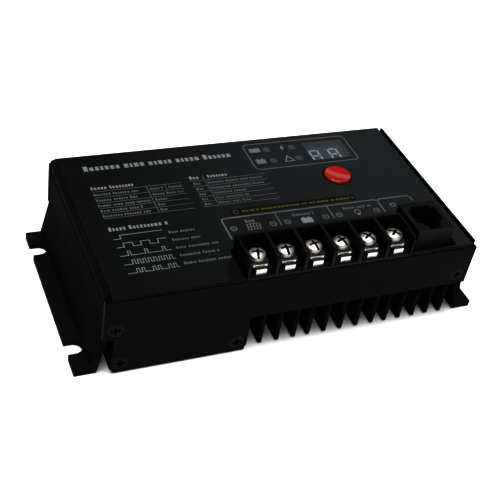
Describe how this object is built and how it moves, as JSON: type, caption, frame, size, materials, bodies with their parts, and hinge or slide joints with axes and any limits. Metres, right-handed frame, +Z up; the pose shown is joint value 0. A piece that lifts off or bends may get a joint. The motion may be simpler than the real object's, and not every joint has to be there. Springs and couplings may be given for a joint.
{
  "type": "charge controller",
  "caption": "Black extruded heat-sink case with flanges and under-fins, labelled top, screw terminal block, modular socket, digit display, status lights and red button.",
  "frame": {"origin": "centre of the base, where the flanges and the tray rest on the wall or bench", "axes": "+X along the case's width towards the socket's end, +Y from the terminal side to the back, +Z up out of the labelled panel"},
  "size_m": [0.1408, 0.069, 0.0376],
  "materials": {
    "case_black": "satin",
    "plate_black": "satin",
    "panel_black": "satin",
    "film_black": "satin",
    "window_clear": "gloss",
    "lens_grey": "gloss",
    "led_white": "gloss",
    "screw_black": "satin",
    "screw_zinc": "satin",
    "terminal_plated": "polished",
    "contact_tin": "polished",
    "block_black": "satin",
    "jack_black": "satin",
    "contact_gold": "polished",
    "board_green": "satin",
    "standoff_brass": "satin",
    "display_grey": "matte",
    "segment_light": "satin",
    "button_red": "gloss",
    "switch_black": "matte",
    "plunger_grey": "matte",
    "spring_steel": "polished",
    "core_yellow": "painted",
    "copper_wire": "enamelled",
    "can_blue": "sleeved",
    "bung_rubber": "matte",
    "chip_black": "matte",
    "tab_nickel": "satin",
    "pad_grey": "matte",
    "shunt_alloy": "satin"
  },
  "bodies": {
    "housing": {"heatsink_profile": "case_black", "front_plate": "plate_black", "back_plate": "plate_black", "front_plate_screws": "screw_black", "back_plate_screws": "screw_black", "top_panel": "panel_black", "label_film": "film_black", "display_window": "window_clear", "status_lenses": "lens_grey", "status_leds": "led_white", "main_board": "board_green", "board_screws": "screw_zinc", "tall_standoffs": "standoff_brass", "short_standoffs": "standoff_brass", "digit_display": "display_grey", "display_segments": "segment_light", "display_pins": "contact_tin", "terminal_block": "block_black", "terminal_contacts": "contact_tin", "signal_jack": "jack_black", "jack_contacts": "contact_gold", "switch_body": "switch_black", "switch_dome": "spring_steel", "inductor_core": "core_yellow", "inductor_winding": "copper_wire", "capacitor_cans": "can_blue", "capacitor_bungs": "bung_rubber", "transistor_bodies": "chip_black", "transistor_tabs": "tab_nickel", "transistor_screws": "screw_zinc", "insulating_pad": "pad_grey", "current_shunts": "shunt_alloy", "controller_chip": "chip_black", "driver_chips": "chip_black"},
    "clamp_1": {"clamp_plate_1": "terminal_plated"},
    "clamp_2": {"clamp_plate_2": "terminal_plated"},
    "clamp_3": {"clamp_plate_3": "terminal_plated"},
    "clamp_4": {"clamp_plate_4": "terminal_plated"},
    "clamp_5": {"clamp_plate_5": "terminal_plated"},
    "clamp_6": {"clamp_plate_6": "terminal_plated"},
    "screw_1": {"terminal_screw_1": "terminal_plated"},
    "screw_2": {"terminal_screw_2": "terminal_plated"},
    "screw_3": {"terminal_screw_3": "terminal_plated"},
    "screw_4": {"terminal_screw_4": "terminal_plated"},
    "screw_5": {"terminal_screw_5": "terminal_plated"},
    "screw_6": {"terminal_screw_6": "terminal_plated"},
    "button": {"button_cap": "button_red", "switch_plunger": "plunger_grey"}
  },
  "joints": [
    {"name": "button_press", "type": "slide", "parent": "housing", "child": "button", "axis": [0, 0, -1], "range_m": [0, 0.0005], "stiffness_N_per_m": 4000, "deforming": ["switch_dome"]},
    {"name": "clamp_1_lift", "type": "slide", "parent": "housing", "child": "clamp_1", "axis": [0, 0, 1], "range_m": [0, 0.003]},
    {"name": "screw_1_turn", "type": "hinge", "parent": "clamp_1", "child": "screw_1", "pos_m": [-0.01475, -0.0287, 0.0335], "axis": [0, 0, 1], "range_deg": [0, 2160]},
    {"name": "clamp_2_lift", "type": "slide", "parent": "housing", "child": "clamp_2", "axis": [0, 0, 1], "range_m": [0, 0.003]},
    {"name": "screw_2_turn", "type": "hinge", "parent": "clamp_2", "child": "screw_2", "pos_m": [-0.00525, -0.0287, 0.0335], "axis": [0, 0, 1], "range_deg": [0, 2160]},
    {"name": "clamp_3_lift", "type": "slide", "parent": "housing", "child": "clamp_3", "axis": [0, 0, 1], "range_m": [0, 0.003]},
    {"name": "screw_3_turn", "type": "hinge", "parent": "clamp_3", "child": "screw_3", "pos_m": [0.00425, -0.0287, 0.0335], "axis": [0, 0, 1], "range_deg": [0, 2160]},
    {"name": "clamp_4_lift", "type": "slide", "parent": "housing", "child": "clamp_4", "axis": [0, 0, 1], "range_m": [0, 0.003]},
    {"name": "screw_4_turn", "type": "hinge", "parent": "clamp_4", "child": "screw_4", "pos_m": [0.01375, -0.0287, 0.0335], "axis": [0, 0, 1], "range_deg": [0, 2160]},
    {"name": "clamp_5_lift", "type": "slide", "parent": "housing", "child": "clamp_5", "axis": [0, 0, 1], "range_m": [0, 0.003]},
    {"name": "screw_5_turn", "type": "hinge", "parent": "clamp_5", "child": "screw_5", "pos_m": [0.02325, -0.0287, 0.0335], "axis": [0, 0, 1], "range_deg": [0, 2160]},
    {"name": "clamp_6_lift", "type": "slide", "parent": "housing", "child": "clamp_6", "axis": [0, 0, 1], "range_m": [0, 0.003]},
    {"name": "screw_6_turn", "type": "hinge", "parent": "clamp_6", "child": "screw_6", "pos_m": [0.03275, -0.0287, 0.0335], "axis": [0, 0, 1], "range_deg": [0, 2160]}
  ],
  "couplings": [
    {"joint": "screw_1_turn", "follows": "clamp_1_lift", "rad_per_m": 12566},
    {"joint": "screw_2_turn", "follows": "clamp_2_lift", "rad_per_m": 12566},
    {"joint": "screw_3_turn", "follows": "clamp_3_lift", "rad_per_m": 12566},
    {"joint": "screw_4_turn", "follows": "clamp_4_lift", "rad_per_m": 12566},
    {"joint": "screw_5_turn", "follows": "clamp_5_lift", "rad_per_m": 12566},
    {"joint": "screw_6_turn", "follows": "clamp_6_lift", "rad_per_m": 12566}
  ]
}
